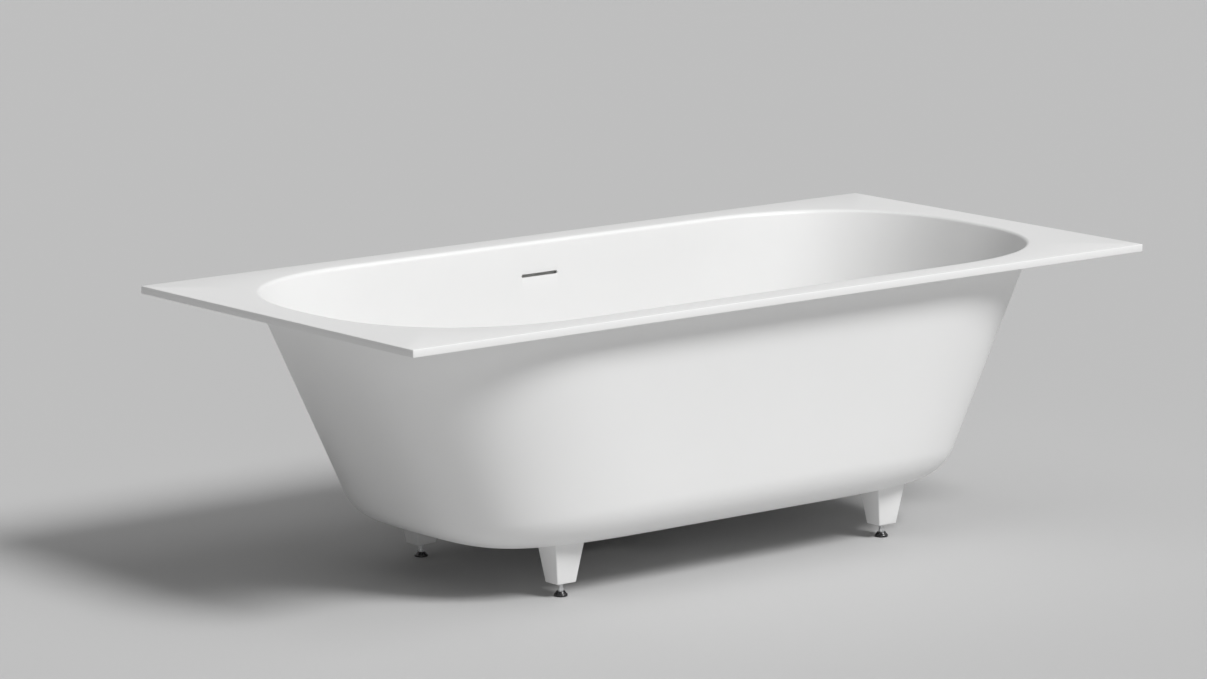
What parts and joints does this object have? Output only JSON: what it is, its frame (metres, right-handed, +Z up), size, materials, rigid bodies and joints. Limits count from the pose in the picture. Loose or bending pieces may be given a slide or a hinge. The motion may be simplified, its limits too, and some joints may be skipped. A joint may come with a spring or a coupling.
{
  "type": "built-in bathtub",
  "caption": "Rectangular built-in bathtub: thin flat rim, tapering oval basin, slot overflow, pop-up waste, shallow trap and screw-levelled feet on cast legs.",
  "frame": {"origin": "on the floor under the middle of the rim, at the foot pads' undersides", "axes": "+X along the long side towards the overflow's outlet, +Y from the open front side to the wall side with the overflow, +Z up"},
  "size_m": [1.7, 0.8, 0.524],
  "materials": {
    "cast_white": "satin",
    "brass": "satin",
    "zinc_steel": "satin",
    "black_plastic": "gloss",
    "chrome": "polished",
    "grey_plastic": "satin",
    "white_plastic": "satin",
    "black_rubber": "matte"
  },
  "bodies": {
    "tub": {"tub_shell": "cast_white", "leg_front_left": "cast_white", "leg_insert_front_left": "brass", "leg_back_left": "cast_white", "leg_insert_back_left": "brass", "leg_front_right": "cast_white", "leg_insert_front_right": "brass", "leg_back_right": "cast_white", "leg_insert_back_right": "brass", "waste_flange": "chrome", "plug_cartridge": "grey_plastic", "waste_flange_seal": "black_rubber", "waste_body": "white_plastic", "waste_body_seal": "black_rubber", "overflow_box": "white_plastic", "overflow_pipe": "white_plastic", "overflow_nut_upper": "white_plastic", "overflow_nut_lower": "white_plastic", "overflow_pipe_seal_upper": "black_rubber", "overflow_pipe_seal_lower": "black_rubber", "trap_bowl": "white_plastic", "trap_inlet": "white_plastic", "trap_outlet": "white_plastic", "trap_eye": "white_plastic", "trap_lid": "white_plastic", "trap_inlet_nut": "white_plastic", "trap_inlet_seal": "black_rubber", "trap_eye_cap": "white_plastic", "trap_eye_seal": "black_rubber"},
    "plug": {"plug_cap": "chrome", "plug_seal": "black_rubber", "plug_stem": "brass"},
    "foot_pad_front_left": {"foot_pad_front_left": "black_plastic"},
    "stud_front_left": {"stud_front_left": "zinc_steel"},
    "foot_pad_back_left": {"foot_pad_back_left": "black_plastic"},
    "stud_back_left": {"stud_back_left": "zinc_steel"},
    "foot_pad_front_right": {"foot_pad_front_right": "black_plastic"},
    "stud_front_right": {"stud_front_right": "zinc_steel"},
    "foot_pad_back_right": {"foot_pad_back_right": "black_plastic"},
    "stud_back_right": {"stud_back_right": "zinc_steel"}
  },
  "joints": [
    {"name": "foot_travel_front_left", "type": "slide", "parent": "tub", "child": "foot_pad_front_left", "axis": [0, 0, -1], "range_m": [-0.0135, 0.0195]},
    {"name": "stud_turn_front_left", "type": "hinge", "parent": "foot_pad_front_left", "child": "stud_front_left", "pos_m": [-0.38, -0.203, 0.0025], "axis": [0, 0, -1], "range_deg": [-3400, 4850]},
    {"name": "foot_travel_back_left", "type": "slide", "parent": "tub", "child": "foot_pad_back_left", "axis": [0, 0, -1], "range_m": [-0.0135, 0.0195]},
    {"name": "stud_turn_back_left", "type": "hinge", "parent": "foot_pad_back_left", "child": "stud_back_left", "pos_m": [-0.38, 0.203, 0.0025], "axis": [0, 0, -1], "range_deg": [-3400, 4850]},
    {"name": "foot_travel_front_right", "type": "slide", "parent": "tub", "child": "foot_pad_front_right", "axis": [0, 0, -1], "range_m": [-0.0135, 0.0195]},
    {"name": "stud_turn_front_right", "type": "hinge", "parent": "foot_pad_front_right", "child": "stud_front_right", "pos_m": [0.38, -0.203, 0.0025], "axis": [0, 0, -1], "range_deg": [-3400, 4850]},
    {"name": "foot_travel_back_right", "type": "slide", "parent": "tub", "child": "foot_pad_back_right", "axis": [0, 0, -1], "range_m": [-0.0135, 0.0195]},
    {"name": "stud_turn_back_right", "type": "hinge", "parent": "foot_pad_back_right", "child": "stud_back_right", "pos_m": [0.38, 0.203, 0.0025], "axis": [0, 0, -1], "range_deg": [-3400, 4850]},
    {"name": "plug_lift", "type": "slide", "parent": "tub", "child": "plug", "axis": [0, 0, 1], "range_m": [0, 0.009]}
  ],
  "couplings": [
    {"joint": "stud_turn_front_left", "follows": "foot_travel_front_left", "rad_per_m": 4188.8},
    {"joint": "stud_turn_back_left", "follows": "foot_travel_back_left", "rad_per_m": 4188.8},
    {"joint": "stud_turn_front_right", "follows": "foot_travel_front_right", "rad_per_m": 4188.8},
    {"joint": "stud_turn_back_right", "follows": "foot_travel_back_right", "rad_per_m": 4188.8}
  ]
}
